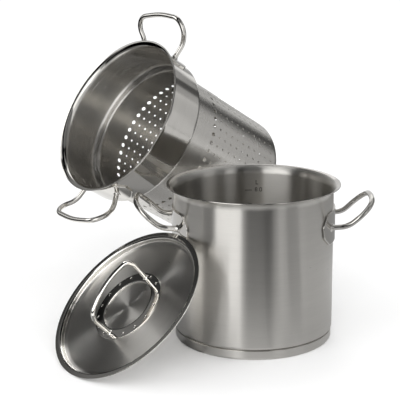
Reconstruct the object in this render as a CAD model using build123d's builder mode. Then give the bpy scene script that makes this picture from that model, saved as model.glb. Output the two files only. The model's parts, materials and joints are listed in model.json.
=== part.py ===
from build123d import *
import math
import os

# ---------------------------------------------------------------- driving dimensions (mm)
# pot
POT_R = 120.0            # outside radius of the straight wall
POT_H = 237.0            # height over the pouring rim
SHEET = 1.2              # wall thickness of the pot
FLARE_R = 13.35          # radius of the outward curl of the pouring rim (outside face)
FLARE_DEG = 77.0         # how far the rim curls outward
CORNER_R = 5.0           # outside radius between wall and floor
FLOOR_Z = 14.8           # underside of the pot floor
CAP_R = 118.8            # outside radius of the base capsule
CAP_LIP = 2.0            # how far the top edge of the capsule is folded in
CAP_T = 1.5              # thickness of the base capsule
CAP_EDGE = 4.0           # bottom edge radius of the base capsule

# handle rods and their weld plates
ROD_R = 4.0
PLATE_T = 2.6
COLLAR_R = 5.4
COLLAR_L = 3.6
POT_FOOT_Z = 179.0
POT_ROD = [(114.0, 46.0, 179.0), (138.0, 43.0, 179.5), (173.5, 49.0, 210.5), (176.5, 0.0, 217.5)]

# strainer insert, in its own frame: origin at the centre of its rim plane, +Z out of the mouth
INS_LIP_R = 131.6
INS_R = 123.5            # outside radius of the collar
INS_SHEET = 1.0
INS_FLARE_R = 10.6
INS_FLARE_DEG = 77.0
INS_SHOULDER = 69.0      # depth of the step that sits on the pot rim
INS_STEP_R = 8.0
BASKET_R = 111.6
BASKET_CORNER = 16.0
INS_DEPTH = 276.0
INS_SEAM = 98.0           # depth at which the plain collar ends and the perforated basket begins
STAVES = 16               # the thin round walls are made of this many equal staves, which meet between the columns of holes
HOLES_ROUND = 48
BIG_HOLE_D = 6.6
BIG_ROW = 114.4
SMALL_HOLE_D = 3.4
ROW_PITCH = 13.7
SMALL_ROWS = 10
INS_FOOT_Z = -33.0
INS_ROD = [(117.0, 42.0, -33.0), (145.0, 51.5, -31.5), (173.5, 65.0, -4.5), (181.0, 0.0, -4.0)]

# lid, in its own frame: origin at the centre of its edge plane, +Z on the grip side
LID_R = 127.4
LID_SHEET = 1.0
RING_IN = 40.8
RING_OUT = 58.1
RING_TOP = -5.0
LID_ROD_R = 3.4
LID_FOOT = 49.0

# where the three loose parts stand
INSERT_FRAME = Plane(
    origin=(-213.7, 142.4, 316.2),
    x_dir=(-0.3851, -0.3669, -0.8468),
    z_dir=(-0.67555, -0.51307, 0.52952),
)
LID_FRAME = Plane(
    origin=(-188.6, -110.5, 86.9),
    x_dir=(0.51993, 0.53592, 0.66518),
    z_dir=(-0.55365, -0.38157, 0.74019),
)

os.makedirs("parts", exist_ok=True)


def flare(radius, top, sheet, curl, degrees):
    """Points of an outward curled rim: start, middle and end on the outside and the inside face."""
    a = math.radians(degrees)
    cx = radius + curl
    cz = top - (curl + sheet) * math.sin(a)

    def at(r, t):
        return (cx - r * math.cos(t), cz + r * math.sin(t))

    outside = [at(curl, 0), at(curl, a / 2), at(curl, a)]
    inside = [at(curl + sheet, 0), at(curl + sheet, a / 2), at(curl + sheet, a)]
    return outside, inside


def loop(points, radii):
    """Corner points of a closed-looking handle loop from one half of it, mirrored in Y."""
    near = [(x, -y, z) for x, y, z in points[:-1]]
    far = [(x, y, z) for x, y, z in reversed(points[:-1])]
    middle = [points[-1]]
    return near + middle + far, radii


# ---------------------------------------------------------------- pot: drawn shell with pouring rim
rim_out, rim_in = flare(POT_R, POT_H, SHEET, FLARE_R, FLARE_DEG)
s45 = math.sqrt(0.5)
with BuildPart() as pot_shell:
    with BuildSketch(Plane.XZ):
        with BuildLine():
            Line((0, FLOOR_Z), (POT_R - CORNER_R, FLOOR_Z))
            ThreePointArc(
                (POT_R - CORNER_R, FLOOR_Z),
                (POT_R - CORNER_R + CORNER_R * s45, FLOOR_Z + CORNER_R - CORNER_R * s45),
                (POT_R, FLOOR_Z + CORNER_R),
            )
            Line((POT_R, FLOOR_Z + CORNER_R), rim_out[0])
            ThreePointArc(rim_out[0], rim_out[1], rim_out[2])
            Line(rim_out[2], rim_in[2])
            ThreePointArc(rim_in[2], rim_in[1], rim_in[0])
            Line(rim_in[0], (POT_R - SHEET, FLOOR_Z + CORNER_R))
            ri = CORNER_R - SHEET
            ThreePointArc(
                (POT_R - SHEET, FLOOR_Z + CORNER_R),
                (POT_R - CORNER_R + ri * s45, FLOOR_Z + CORNER_R - ri * s45),
                (POT_R - CORNER_R, FLOOR_Z + SHEET),
            )
            Line((POT_R - CORNER_R, FLOOR_Z + SHEET), (0, FLOOR_Z + SHEET))
            Line((0, FLOOR_Z + SHEET), (0, FLOOR_Z))
        make_face()
    revolve(axis=Axis.Z)

# heat-spreading disc between the pot floor and the capsule
inner = CAP_R - CAP_T
with BuildPart() as base_core:
    with BuildSketch(Plane.XZ):
        with BuildLine():
            Line((0, CAP_T), (inner - 2.5, CAP_T))
            ThreePointArc(
                (inner - 2.5, CAP_T),
                (inner - 2.5 + 2.5 * s45, CAP_T + 2.5 - 2.5 * s45),
                (inner, CAP_T + 2.5),
            )
            Line((inner, CAP_T + 2.5), (inner, FLOOR_Z - CAP_LIP))
            Line((inner, FLOOR_Z - CAP_LIP), (inner - CAP_LIP, FLOOR_Z))
            Line((inner - CAP_LIP, FLOOR_Z), (0, FLOOR_Z))
            Line((0, FLOOR_Z), (0, CAP_T))
        make_face()
    revolve(axis=Axis.Z)

# steel cup pressed round the disc; its folded top edge is the fine line round the foot of the pot
with BuildPart() as base_capsule:
    with BuildSketch(Plane.XZ):
        with BuildLine():
            Line((0, 0), (CAP_R - CAP_EDGE, 0))
            ThreePointArc(
                (CAP_R - CAP_EDGE, 0),
                (CAP_R - CAP_EDGE + CAP_EDGE * s45, CAP_EDGE - CAP_EDGE * s45),
                (CAP_R, CAP_EDGE),
            )
            Line((CAP_R, CAP_EDGE), (CAP_R, FLOOR_Z - 1.3))
            Line((CAP_R, FLOOR_Z - 1.3), (CAP_R - 0.9, FLOOR_Z - 0.3))
            Line((CAP_R - 0.9, FLOOR_Z - 0.3), (CAP_R - 2.0, FLOOR_Z))
            Line((CAP_R - 2.0, FLOOR_Z), (inner - CAP_LIP, FLOOR_Z))
            Line((inner - CAP_LIP, FLOOR_Z), (inner, FLOOR_Z - CAP_LIP))
            Line((inner, FLOOR_Z - CAP_LIP), (inner, CAP_T + 2.5))
            ThreePointArc(
                (inner, CAP_T + 2.5),
                (inner - 2.5 + 2.5 * s45, CAP_T + 2.5 - 2.5 * s45),
                (inner - 2.5, CAP_T),
            )
            Line((inner - 2.5, CAP_T), (0, CAP_T))
            Line((0, CAP_T), (0, 0))
        make_face()
    revolve(axis=Axis.Z)

# ---------------------------------------------------------------- pot: side handles on weld plates
PLATE_R = POT_R + PLATE_T
pot_loop, pot_radii = loop(POT_ROD, [28, 30, 120, 30, 28])
with BuildPart() as pot_handle_right:
    with BuildLine() as pot_loop_line:
        FilletPolyline(*pot_loop, radius=pot_radii)
    with BuildSketch(Plane(origin=pot_loop_line.line @ 0, z_dir=pot_loop_line.line % 0)):
        Circle(ROD_R)
    sweep(path=pot_loop_line.line)
    with Locations((0, 0, POT_FOOT_Z)):
        Cylinder(PLATE_R, 40, mode=Mode.SUBTRACT)

with BuildPart() as pot_plate_right:
    with BuildSketch(Plane.YZ.offset(60)):
        with BuildLine():
            Polyline(
                (-60, POT_FOOT_Z + 24), (60, POT_FOOT_Z + 24), (72, POT_FOOT_Z + 6), (69, POT_FOOT_Z - 12),
                (54, POT_FOOT_Z - 25), (-54, POT_FOOT_Z - 25), (-69, POT_FOOT_Z - 12), (-72, POT_FOOT_Z + 6),
                close=True,
            )
        make_face()
        fillet(vertices(), 11)
    extrude(amount=80)
    with Locations((0, 0, POT_FOOT_Z)):
        Cylinder(PLATE_R, 80, mode=Mode.INTERSECT)
        Cylinder(POT_R, 80, mode=Mode.SUBTRACT)
    outer_edges = pot_plate_right.faces().sort_by(SortBy.AREA)[-2:].sort_by(Axis.X)[-1].edges()
    chamfer(outer_edges, 0.9)

# weld collars where each leg meets the plate
with BuildPart() as pot_welds_right:
    for side in (-1, 1):
        foot = Vector(POT_ROD[0][0], side * POT_ROD[0][1], POT_ROD[0][2])
        run = Vector(POT_ROD[1][0], side * POT_ROD[1][1], POT_ROD[1][2]) - foot
        run = run.normalized()
        base = foot + run * 0.5
        with Locations(Plane(origin=base, z_dir=run).location):
            Cone(COLLAR_R + 1.2, ROD_R + 0.5, COLLAR_L + 2.6, align=(Align.CENTER, Align.CENTER, Align.MIN))
            Cylinder(ROD_R, 30, mode=Mode.SUBTRACT)
    with Locations((0, 0, POT_FOOT_Z)):
        Cylinder(PLATE_R, 40, mode=Mode.SUBTRACT)

with BuildPart() as pot_handle_left:
    add(mirror(pot_handle_right.part, about=Plane.YZ, mode=Mode.PRIVATE))
with BuildPart() as pot_plate_left:
    add(mirror(pot_plate_right.part, about=Plane.YZ, mode=Mode.PRIVATE))
with BuildPart() as pot_welds_left:
    add(mirror(pot_welds_right.part, about=Plane.YZ, mode=Mode.PRIVATE))

# ---------------------------------------------------------------- pot: litre scale inside the wall
LITRE = 1.0e6 / (math.pi * (POT_R - SHEET) ** 2)
STROKES = {
    "0": [[(0, 1), (0, 5), (1, 6), (2.6, 6), (3.6, 5), (3.6, 1), (2.6, 0), (1, 0), (0, 1)]],
    "2": [[(0, 5), (1, 6), (2.6, 6), (3.6, 5), (3.6, 4), (0, 0), (3.6, 0)]],
    "4": [[(2.7, 0), (2.7, 6), (0, 1.8), (3.7, 1.8)]],
    "6": [[(3.4, 5.4), (2.4, 6), (1.2, 6), (0, 4.4), (0, 1), (1, 0), (2.6, 0), (3.6, 1), (3.6, 2.4), (2.6, 3.4), (0, 3.2)]],
    "8": [
        [(1.1, 3.2), (0.2, 4), (0.2, 5.2), (1.1, 6), (2.5, 6), (3.4, 5.2), (3.4, 4), (2.5, 3.2), (1.1, 3.2)],
        [(1.1, 3.2), (0, 2.2), (0, 0.9), (1, 0), (2.6, 0), (3.6, 0.9), (3.6, 2.2), (2.5, 3.2)],
    ],
    ".": [[(0.2, 0.1), (0.8, 0.1)]],
    "L": [[(0, 6.4), (0, 0), (3.4, 0)]],
}
ADVANCE = {"0": 5.0, "2": 5.0, "4": 5.0, "6": 5.0, "8": 5.0, ".": 2.2, "L": 5.0}
with BuildPart() as pot_litre_scale:
    with BuildSketch(Plane.XZ.offset(-(POT_R - 6))):
        for litres in (2, 3, 4, 5, 6, 7, 8):
            z = FLOOR_Z + SHEET + litres * LITRE
            if litres % 2 == 0:
                with Locations((-2.6, z)):
                    Rectangle(11.0, 1.0)
                x = 8.0
                for glyph in f"{litres}.0":
                    for stroke in STROKES[glyph]:
                        with BuildLine(mode=Mode.PRIVATE) as pen:
                            Polyline(*[(x + px * 0.9, z - 1.6 + pz * 0.95) for px, pz in stroke])
                        trace(pen.line, line_width=0.95)
                    x += ADVANCE[glyph]
            else:
                with Locations((-0.1, z)):
                    Rectangle(6.0, 0.8)
        with BuildLine(mode=Mode.PRIVATE) as pen:
            z = FLOOR_Z + SHEET + 8 * LITRE + 10
            Polyline(*[(9.4 + px, z + pz) for px, pz in STROKES["L"][0]])
        trace(pen.line, line_width=1.1)
    extrude(amount=-10)
    with Locations((0, 0, POT_H / 2)):
        Cylinder(POT_R - SHEET, POT_H, mode=Mode.INTERSECT)
        Cylinder(POT_R - SHEET - 0.15, POT_H, mode=Mode.SUBTRACT)

# ---------------------------------------------------------------- insert: collar with its step, and the perforated basket below
stave_turns = [math.radians(180.0 / HOLES_ROUND + 360.0 / STAVES * i) for i in range(STAVES // 2)]
stave_planes = [
    Plane(origin=(0, 0, 0), x_dir=(math.cos(a), math.sin(a), 0), z_dir=(-math.sin(a), math.cos(a), 0))
    for a in stave_turns
]
lip_out, lip_in = flare(INS_R, 0.0, INS_SHEET, INS_FLARE_R, INS_FLARE_DEG)
step_in = INS_STEP_R - INS_SHEET
neck = 3.5                                    # outside fillet between step and basket
with BuildPart() as insert_shell:
    with BuildSketch(Plane.XZ):
        with BuildLine():
            # outside face, from the floor centre up to the rim
            Line((0, -INS_DEPTH), (BASKET_R - BASKET_CORNER, -INS_DEPTH))
            ThreePointArc(
                (BASKET_R - BASKET_CORNER, -INS_DEPTH),
                (BASKET_R - BASKET_CORNER * (1 - s45), -INS_DEPTH + BASKET_CORNER * (1 - s45)),
                (BASKET_R, -INS_DEPTH + BASKET_CORNER),
            )
            Line((BASKET_R, -INS_DEPTH + BASKET_CORNER), (BASKET_R, -INS_SHOULDER - neck))
            ThreePointArc(
                (BASKET_R, -INS_SHOULDER - neck),
                (BASKET_R + neck * (1 - s45), -INS_SHOULDER - neck * (1 - s45)),
                (BASKET_R + neck, -INS_SHOULDER),
            )
            Line((BASKET_R + neck, -INS_SHOULDER), (INS_R - INS_STEP_R, -INS_SHOULDER))
            ThreePointArc(
                (INS_R - INS_STEP_R, -INS_SHOULDER),
                (INS_R - INS_STEP_R * (1 - s45), -INS_SHOULDER + INS_STEP_R * (1 - s45)),
                (INS_R, -INS_SHOULDER + INS_STEP_R),
            )
            Line((INS_R, -INS_SHOULDER + INS_STEP_R), lip_out[0])
            ThreePointArc(lip_out[0], lip_out[1], lip_out[2])
            Line(lip_out[2], lip_in[2])
            ThreePointArc(lip_in[2], lip_in[1], lip_in[0])
            # inside face, back down to the floor
            Line(lip_in[0], (INS_R - INS_SHEET, -INS_SHOULDER + INS_STEP_R))
            ThreePointArc(
                (INS_R - INS_SHEET, -INS_SHOULDER + INS_STEP_R),
                (INS_R - INS_STEP_R + step_in * s45, -INS_SHOULDER + INS_STEP_R - step_in * s45),
                (INS_R - INS_STEP_R, -INS_SHOULDER + INS_SHEET),
            )
            nk = neck + INS_SHEET
            Line((INS_R - INS_STEP_R, -INS_SHOULDER + INS_SHEET), (BASKET_R + neck, -INS_SHOULDER + INS_SHEET))
            ThreePointArc(
                (BASKET_R + neck, -INS_SHOULDER + INS_SHEET),
                (BASKET_R + neck - nk * s45, -INS_SHOULDER - neck + nk * s45),
                (BASKET_R - INS_SHEET, -INS_SHOULDER - neck),
            )
            Line((BASKET_R - INS_SHEET, -INS_SHOULDER - neck), (BASKET_R - INS_SHEET, -INS_DEPTH + BASKET_CORNER))
            bc = BASKET_CORNER - INS_SHEET
            ThreePointArc(
                (BASKET_R - INS_SHEET, -INS_DEPTH + BASKET_CORNER),
                (BASKET_R - BASKET_CORNER + bc * s45, -INS_DEPTH + BASKET_CORNER - bc * s45),
                (BASKET_R - BASKET_CORNER, -INS_DEPTH + INS_SHEET),
            )
            Line((BASKET_R - BASKET_CORNER, -INS_DEPTH + INS_SHEET), (0, -INS_DEPTH + INS_SHEET))
            Line((0, -INS_DEPTH + INS_SHEET), (0, -INS_DEPTH))
        make_face()
    revolve(axis=Axis.Z)
    split(bisect_by=Plane.XY.offset(-INS_SEAM), keep=Keep.TOP)
    split(bisect_by=Plane.XY.offset(-INS_SHOULDER + INS_STEP_R), keep=Keep.BOTH)
    for stave in stave_planes:
        split(bisect_by=stave, keep=Keep.BOTH)

with BuildPart() as insert_basket:
    with BuildSketch(Plane.XZ):
        with BuildLine():
            ThreePointArc(
                (BASKET_R - BASKET_CORNER, -INS_DEPTH),
                (BASKET_R - BASKET_CORNER * (1 - s45), -INS_DEPTH + BASKET_CORNER * (1 - s45)),
                (BASKET_R, -INS_DEPTH + BASKET_CORNER),
            )
            Line((BASKET_R, -INS_DEPTH + BASKET_CORNER), (BASKET_R, -INS_SEAM))
            Line((BASKET_R, -INS_SEAM), (BASKET_R - INS_SHEET, -INS_SEAM))
            Line((BASKET_R - INS_SHEET, -INS_SEAM), (BASKET_R - INS_SHEET, -INS_DEPTH + BASKET_CORNER))
            ThreePointArc(
                (BASKET_R - INS_SHEET, -INS_DEPTH + BASKET_CORNER),
                (BASKET_R - BASKET_CORNER + bc * s45, -INS_DEPTH + BASKET_CORNER - bc * s45),
                (BASKET_R - BASKET_CORNER, -INS_DEPTH + INS_SHEET),
            )
            Line((BASKET_R - BASKET_CORNER, -INS_DEPTH + INS_SHEET), (BASKET_R - BASKET_CORNER, -INS_DEPTH))
        make_face()
    revolve(axis=Axis.Z)
    # one row of large holes, then rows of small holes straight below them
    turn = 360.0 / HOLES_ROUND
    big = [Location((0, 0, -BIG_ROW), (0, 0, turn * i)) for i in range(HOLES_ROUND)]
    small = [
        Location((0, 0, -BIG_ROW - ROW_PITCH * (k + 1)), (0, 0, turn * i))
        for k in range(SMALL_ROWS)
        for i in range(HOLES_ROUND)
    ]
    for spots, d in ((big, BIG_HOLE_D), (small, SMALL_HOLE_D)):
        drills = [s * Location((BASKET_R - 0.5, 0, 0), (0, 90, 0)) for s in spots]
        with Locations(*drills):
            Cylinder(d / 2, 7, mode=Mode.SUBTRACT)
    split(bisect_by=Plane.XY.offset(-INS_DEPTH + BASKET_CORNER), keep=Keep.BOTH)
    for stave in stave_planes:
        split(bisect_by=stave, keep=Keep.BOTH)

with BuildPart() as insert_floor:
    with BuildSketch(Plane.XY.offset(-INS_DEPTH)):
        Circle(BASKET_R - BASKET_CORNER)
    extrude(amount=INS_SHEET)
    # rings of small holes in the floor
    floor = [(0.0, 0.0)]
    for ring in range(1, 7):
        r = 14.5 * ring
        count = 6 * ring
        floor += [(r * math.cos(2 * math.pi * i / count), r * math.sin(2 * math.pi * i / count)) for i in range(count)]
    with Locations(*[Location((x, y, -INS_DEPTH)) for x, y in floor]):
        Cylinder(SMALL_HOLE_D / 2, 6, mode=Mode.SUBTRACT)

# ---------------------------------------------------------------- insert: side handles on weld plates
INS_PLATE_R = INS_R + PLATE_T
ins_loop, ins_radii = loop(INS_ROD, [32, 22, 170, 22, 32])
with BuildPart() as insert_handle_lower:
    with BuildLine() as ins_loop_line:
        FilletPolyline(*ins_loop, radius=ins_radii)
    with BuildSketch(Plane(origin=ins_loop_line.line @ 0, z_dir=ins_loop_line.line % 0)):
        Circle(ROD_R)
    sweep(path=ins_loop_line.line)
    with Locations((0, 0, INS_FOOT_Z)):
        Cylinder(INS_PLATE_R, 40, mode=Mode.SUBTRACT)

with BuildPart() as insert_plate_lower:
    with BuildSketch(Plane.YZ.offset(60)):
        with BuildLine():
            Polyline(
                (-56, INS_FOOT_Z + 21), (56, INS_FOOT_Z + 21), (67, INS_FOOT_Z + 6), (65, INS_FOOT_Z - 10),
                (52, INS_FOOT_Z - 21), (-52, INS_FOOT_Z - 21), (-65, INS_FOOT_Z - 10), (-67, INS_FOOT_Z + 6),
                close=True,
            )
        make_face()
        fillet(vertices(), 10)
    extrude(amount=80)
    with Locations((0, 0, INS_FOOT_Z)):
        Cylinder(INS_PLATE_R, 80, mode=Mode.INTERSECT)
        Cylinder(INS_R, 80, mode=Mode.SUBTRACT)
    outer_edges = insert_plate_lower.faces().sort_by(SortBy.AREA)[-2:].sort_by(Axis.X)[-1].edges()
    chamfer(outer_edges, 0.9)

with BuildPart() as insert_welds_lower:
    for side in (-1, 1):
        foot = Vector(INS_ROD[0][0], side * INS_ROD[0][1], INS_ROD[0][2])
        run = Vector(INS_ROD[1][0], side * INS_ROD[1][1], INS_ROD[1][2]) - foot
        run = run.normalized()
        base = foot + run * 0.5
        with Locations(Plane(origin=base, z_dir=run).location):
            Cone(COLLAR_R + 1.2, ROD_R + 0.5, COLLAR_L + 2.6, align=(Align.CENTER, Align.CENTER, Align.MIN))
            Cylinder(ROD_R, 30, mode=Mode.SUBTRACT)
    with Locations((0, 0, INS_FOOT_Z)):
        Cylinder(INS_PLATE_R, 40, mode=Mode.SUBTRACT)

with BuildPart() as insert_handle_upper:
    add(mirror(insert_handle_lower.part, about=Plane.YZ, mode=Mode.PRIVATE))
with BuildPart() as insert_plate_upper:
    add(mirror(insert_plate_lower.part, about=Plane.YZ, mode=Mode.PRIVATE))
with BuildPart() as insert_welds_upper:
    add(mirror(insert_welds_lower.part, about=Plane.YZ, mode=Mode.PRIVATE))

# ---------------------------------------------------------------- lid: dished sheet with a flat flange
LID_FACE = [(0, -8.2), (37, -7.0), (60, -7.0), (111.5, -9.4), (116.6, -7.6), (117.6, -1.6), (120.4, 0.0), (LID_R, 0.0)]
LID_UNDER = [(0, -9.2), (37, -8.0), (60, -8.0), (111.6, -10.4), (117.5, -8.34), (118.52, -2.23), (120.67, -1.0), (LID_R - 1.0, -1.0)]
with BuildPart() as lid_shell:
    with BuildSketch(Plane.XZ):
        with BuildLine():
            FilletPolyline(*LID_FACE, radius=[100, 20, 6, 3, 2.5, 4])
            Line((LID_R, 0.0), (LID_R, -1.3))
            Line((LID_R, -1.3), (LID_R - 1.0, -1.3))
            Line((LID_R - 1.0, -1.3), (LID_R - 1.0, -LID_SHEET))
            FilletPolyline(*LID_UNDER, radius=[99, 19, 7, 4, 1.5, 3])
            Line((0, -8.2 - LID_SHEET), (0, -8.2))
        make_face()
    revolve(axis=Axis.Z)

# polished ring plate that carries the grip, with its spot-weld marks
with BuildPart() as lid_ring:
    with BuildSketch(Plane.XZ):
        with BuildLine():
            Polyline(
                (RING_IN, -7.0), (RING_OUT, -7.0), (RING_OUT, RING_TOP - 1.3), (RING_OUT - 0.7, RING_TOP - 0.75),
                (RING_IN + 2.2, RING_TOP), (RING_IN + 0.6, RING_TOP - 0.25), (RING_IN, RING_TOP - 0.9), close=True,
            )
        make_face()
    revolve(axis=Axis.Z)
    with PolarLocations(52.6, 16, start_angle=11.25):
        with Locations((0, 0, RING_TOP + 2.0)):
            Sphere(2.95, mode=Mode.SUBTRACT)

lid_loop = [
    (-LID_FOOT, 0, RING_TOP - 3.0), (-50.8, 0, 37.0), (0, 0, 51.0), (50.8, 0, 37.0), (LID_FOOT, 0, RING_TOP - 3.0),
]
with BuildPart() as lid_handle:
    with BuildLine() as lid_line:
        FilletPolyline(*lid_loop, radius=[18, 130, 18])
    with BuildSketch(Plane(origin=lid_line.line @ 0, z_dir=lid_line.line % 0)):
        Circle(LID_ROD_R)
    sweep(path=lid_line.line)
    with BuildSketch(Plane.XY.offset(-12)):
        Circle(70)
    extrude(amount=12 + RING_TOP, mode=Mode.SUBTRACT)

with BuildPart() as lid_welds:
    for side in (-1, 1):
        foot = Vector(side * LID_FOOT, 0, RING_TOP - 3.0)
        run = Vector(side * 50.8, 0, 37.0) - foot
        run = run.normalized()
        with Locations(Plane(origin=foot, z_dir=run).location):
            Cone(LID_ROD_R + 3.2, LID_ROD_R + 0.4, 5.6, align=(Align.CENTER, Align.CENTER, Align.MIN))
            Cylinder(LID_ROD_R, 30, mode=Mode.SUBTRACT)
    with BuildSketch(Plane.XY.offset(-12)):
        Circle(70)
    extrude(amount=12 + RING_TOP, mode=Mode.SUBTRACT)

# ---------------------------------------------------------------- place the loose parts and write every piece
for piece in (
    insert_shell, insert_basket, insert_floor, insert_handle_lower, insert_handle_upper, insert_plate_lower, insert_plate_upper,
    insert_welds_lower, insert_welds_upper,
):
    piece.part = INSERT_FRAME.location * piece.part
for piece in (lid_shell, lid_ring, lid_handle, lid_welds):
    piece.part = LID_FRAME.location * piece.part

pot_shell.part.label = "pot_shell"
export_step(pot_shell.part, "parts/pot_shell.step")
base_core.part.label = "base_core"
export_step(base_core.part, "parts/base_core.step")
base_capsule.part.label = "base_capsule"
export_step(base_capsule.part, "parts/base_capsule.step")
pot_handle_right.part.label = "pot_handle_right"
export_step(pot_handle_right.part, "parts/pot_handle_right.step")
pot_handle_left.part.label = "pot_handle_left"
export_step(pot_handle_left.part, "parts/pot_handle_left.step")
pot_plate_right.part.label = "pot_plate_right"
export_step(pot_plate_right.part, "parts/pot_plate_right.step")
pot_plate_left.part.label = "pot_plate_left"
export_step(pot_plate_left.part, "parts/pot_plate_left.step")
pot_welds_right.part.label = "pot_welds_right"
export_step(pot_welds_right.part, "parts/pot_welds_right.step")
pot_welds_left.part.label = "pot_welds_left"
export_step(pot_welds_left.part, "parts/pot_welds_left.step")
pot_litre_scale.part.label = "pot_litre_scale"
export_step(pot_litre_scale.part, "parts/pot_litre_scale.step")
insert_shell.part.label = "insert_shell"
export_step(insert_shell.part, "parts/insert_shell.step")
insert_basket.part.label = "insert_basket"
export_step(insert_basket.part, "parts/insert_basket.step")
insert_floor.part.label = "insert_floor"
export_step(insert_floor.part, "parts/insert_floor.step")
insert_handle_lower.part.label = "insert_handle_lower"
export_step(insert_handle_lower.part, "parts/insert_handle_lower.step")
insert_handle_upper.part.label = "insert_handle_upper"
export_step(insert_handle_upper.part, "parts/insert_handle_upper.step")
insert_plate_lower.part.label = "insert_plate_lower"
export_step(insert_plate_lower.part, "parts/insert_plate_lower.step")
insert_plate_upper.part.label = "insert_plate_upper"
export_step(insert_plate_upper.part, "parts/insert_plate_upper.step")
insert_welds_lower.part.label = "insert_welds_lower"
export_step(insert_welds_lower.part, "parts/insert_welds_lower.step")
insert_welds_upper.part.label = "insert_welds_upper"
export_step(insert_welds_upper.part, "parts/insert_welds_upper.step")
lid_shell.part.label = "lid_shell"
export_step(lid_shell.part, "parts/lid_shell.step")
lid_ring.part.label = "lid_ring"
export_step(lid_ring.part, "parts/lid_ring.step")
lid_handle.part.label = "lid_handle"
export_step(lid_handle.part, "parts/lid_handle.step")
lid_welds.part.label = "lid_welds"
export_step(lid_welds.part, "parts/lid_welds.step")
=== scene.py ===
import json
import math

import bpy
import numpy as np
from mathutils import Matrix, Vector
from mathutils.geometry import delaunay_2d_cdt


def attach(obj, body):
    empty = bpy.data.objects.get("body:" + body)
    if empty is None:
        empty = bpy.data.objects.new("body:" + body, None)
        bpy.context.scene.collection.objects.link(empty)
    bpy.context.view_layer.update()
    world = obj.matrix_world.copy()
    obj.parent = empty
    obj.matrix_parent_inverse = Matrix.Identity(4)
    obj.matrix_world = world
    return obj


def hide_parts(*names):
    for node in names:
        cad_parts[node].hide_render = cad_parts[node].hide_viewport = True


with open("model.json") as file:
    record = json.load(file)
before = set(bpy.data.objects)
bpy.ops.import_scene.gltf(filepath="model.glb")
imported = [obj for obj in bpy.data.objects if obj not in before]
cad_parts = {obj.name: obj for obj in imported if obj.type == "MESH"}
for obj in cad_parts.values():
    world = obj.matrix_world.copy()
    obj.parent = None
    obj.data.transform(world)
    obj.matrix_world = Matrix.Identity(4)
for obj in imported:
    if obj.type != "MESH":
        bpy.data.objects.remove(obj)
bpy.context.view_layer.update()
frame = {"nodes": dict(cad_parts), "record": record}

MM = 0.001

# ------------------------------------------------------------------ sizes (mm), as in the CAD model
POT_R, POT_H, SHEET, FLOOR_Z = 120.0, 237.0, 1.2, 14.8
CAP_R, CAP_T = 118.8, 1.5
ROD_R, PLATE_T = 4.0, 2.6
POT_FOOT_Z = 179.0
POT_ROD = [(114.0, 46.0, 179.0), (138.0, 43.0, 179.5), (173.5, 49.0, 210.5), (176.5, 0.0, 217.5)]
INS_R, INS_SHEET, INS_SHOULDER, INS_STEP_R = 123.5, 1.0, 69.0, 8.0
BASKET_R, BASKET_CORNER, INS_DEPTH = 111.6, 16.0, 276.0
HOLES_ROUND, BIG_HOLE_D, BIG_ROW, SMALL_HOLE_D, ROW_PITCH, SMALL_ROWS = 48, 6.6, 114.4, 3.4, 13.7, 10
INS_FOOT_Z = -33.0
INS_ROD = [(117.0, 42.0, -33.0), (145.0, 51.5, -31.5), (173.5, 65.0, -4.5), (181.0, 0.0, -4.0)]
RING_IN, RING_OUT, RING_TOP = 40.8, 58.1, -5.0
LID_R, LID_ROD_R, LID_FOOT = 127.4, 3.4, 49.0


class Frame:
    """A local frame: millimetres in, metres in the row frame out."""

    def __init__(self, origin, x, z):
        self.o = Vector(origin) * MM
        self.z = Vector(z).normalized()
        x = Vector(x)
        self.x = (x - self.z * x.dot(self.z)).normalized()
        self.y = self.z.cross(self.x)

    def p(self, x, y, z):
        return self.o + (self.x * x + self.y * y + self.z * z) * MM

    def v(self, x, y, z):
        return self.x * x + self.y * y + self.z * z


POT = Frame((0, 0, 0), (1, 0, 0), (0, 0, 1))
INS = Frame((-213.7, 142.4, 316.2), (-0.3851, -0.3669, -0.8468), (-0.67555, -0.51307, 0.52952))
LID = Frame((-188.6, -110.5, 86.9), (0.51993, 0.53592, 0.66518), (-0.55365, -0.38157, 0.74019))


# ------------------------------------------------------------------ mesh helpers
RIDERS = {"pot": [], "insert": [], "lid": []}     # the objects made here, by the body that they ride on


def make(name, verts, faces, normals=None, mat=None, body=None, slot=None, nodes=(), sharp=None):
    me = bpy.data.meshes.new(name)
    me.from_pydata([tuple(v) for v in verts], [], faces)
    me.validate()
    me.update()
    me.polygons.foreach_set("use_smooth", [True] * len(me.polygons))
    if normals is not None:
        me.normals_split_custom_set_from_vertices([tuple(n) for n in normals])
    elif sharp is not None:
        me.set_sharp_from_angle(angle=math.radians(sharp))
    ob = bpy.data.objects.new(name, me)
    bpy.context.scene.collection.objects.link(ob)
    if mat:
        me.materials.append(mat)
    if body:
        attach(ob, body)
        RIDERS[body].append(ob)
    if nodes:
        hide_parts(*nodes)
    return ob


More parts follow.
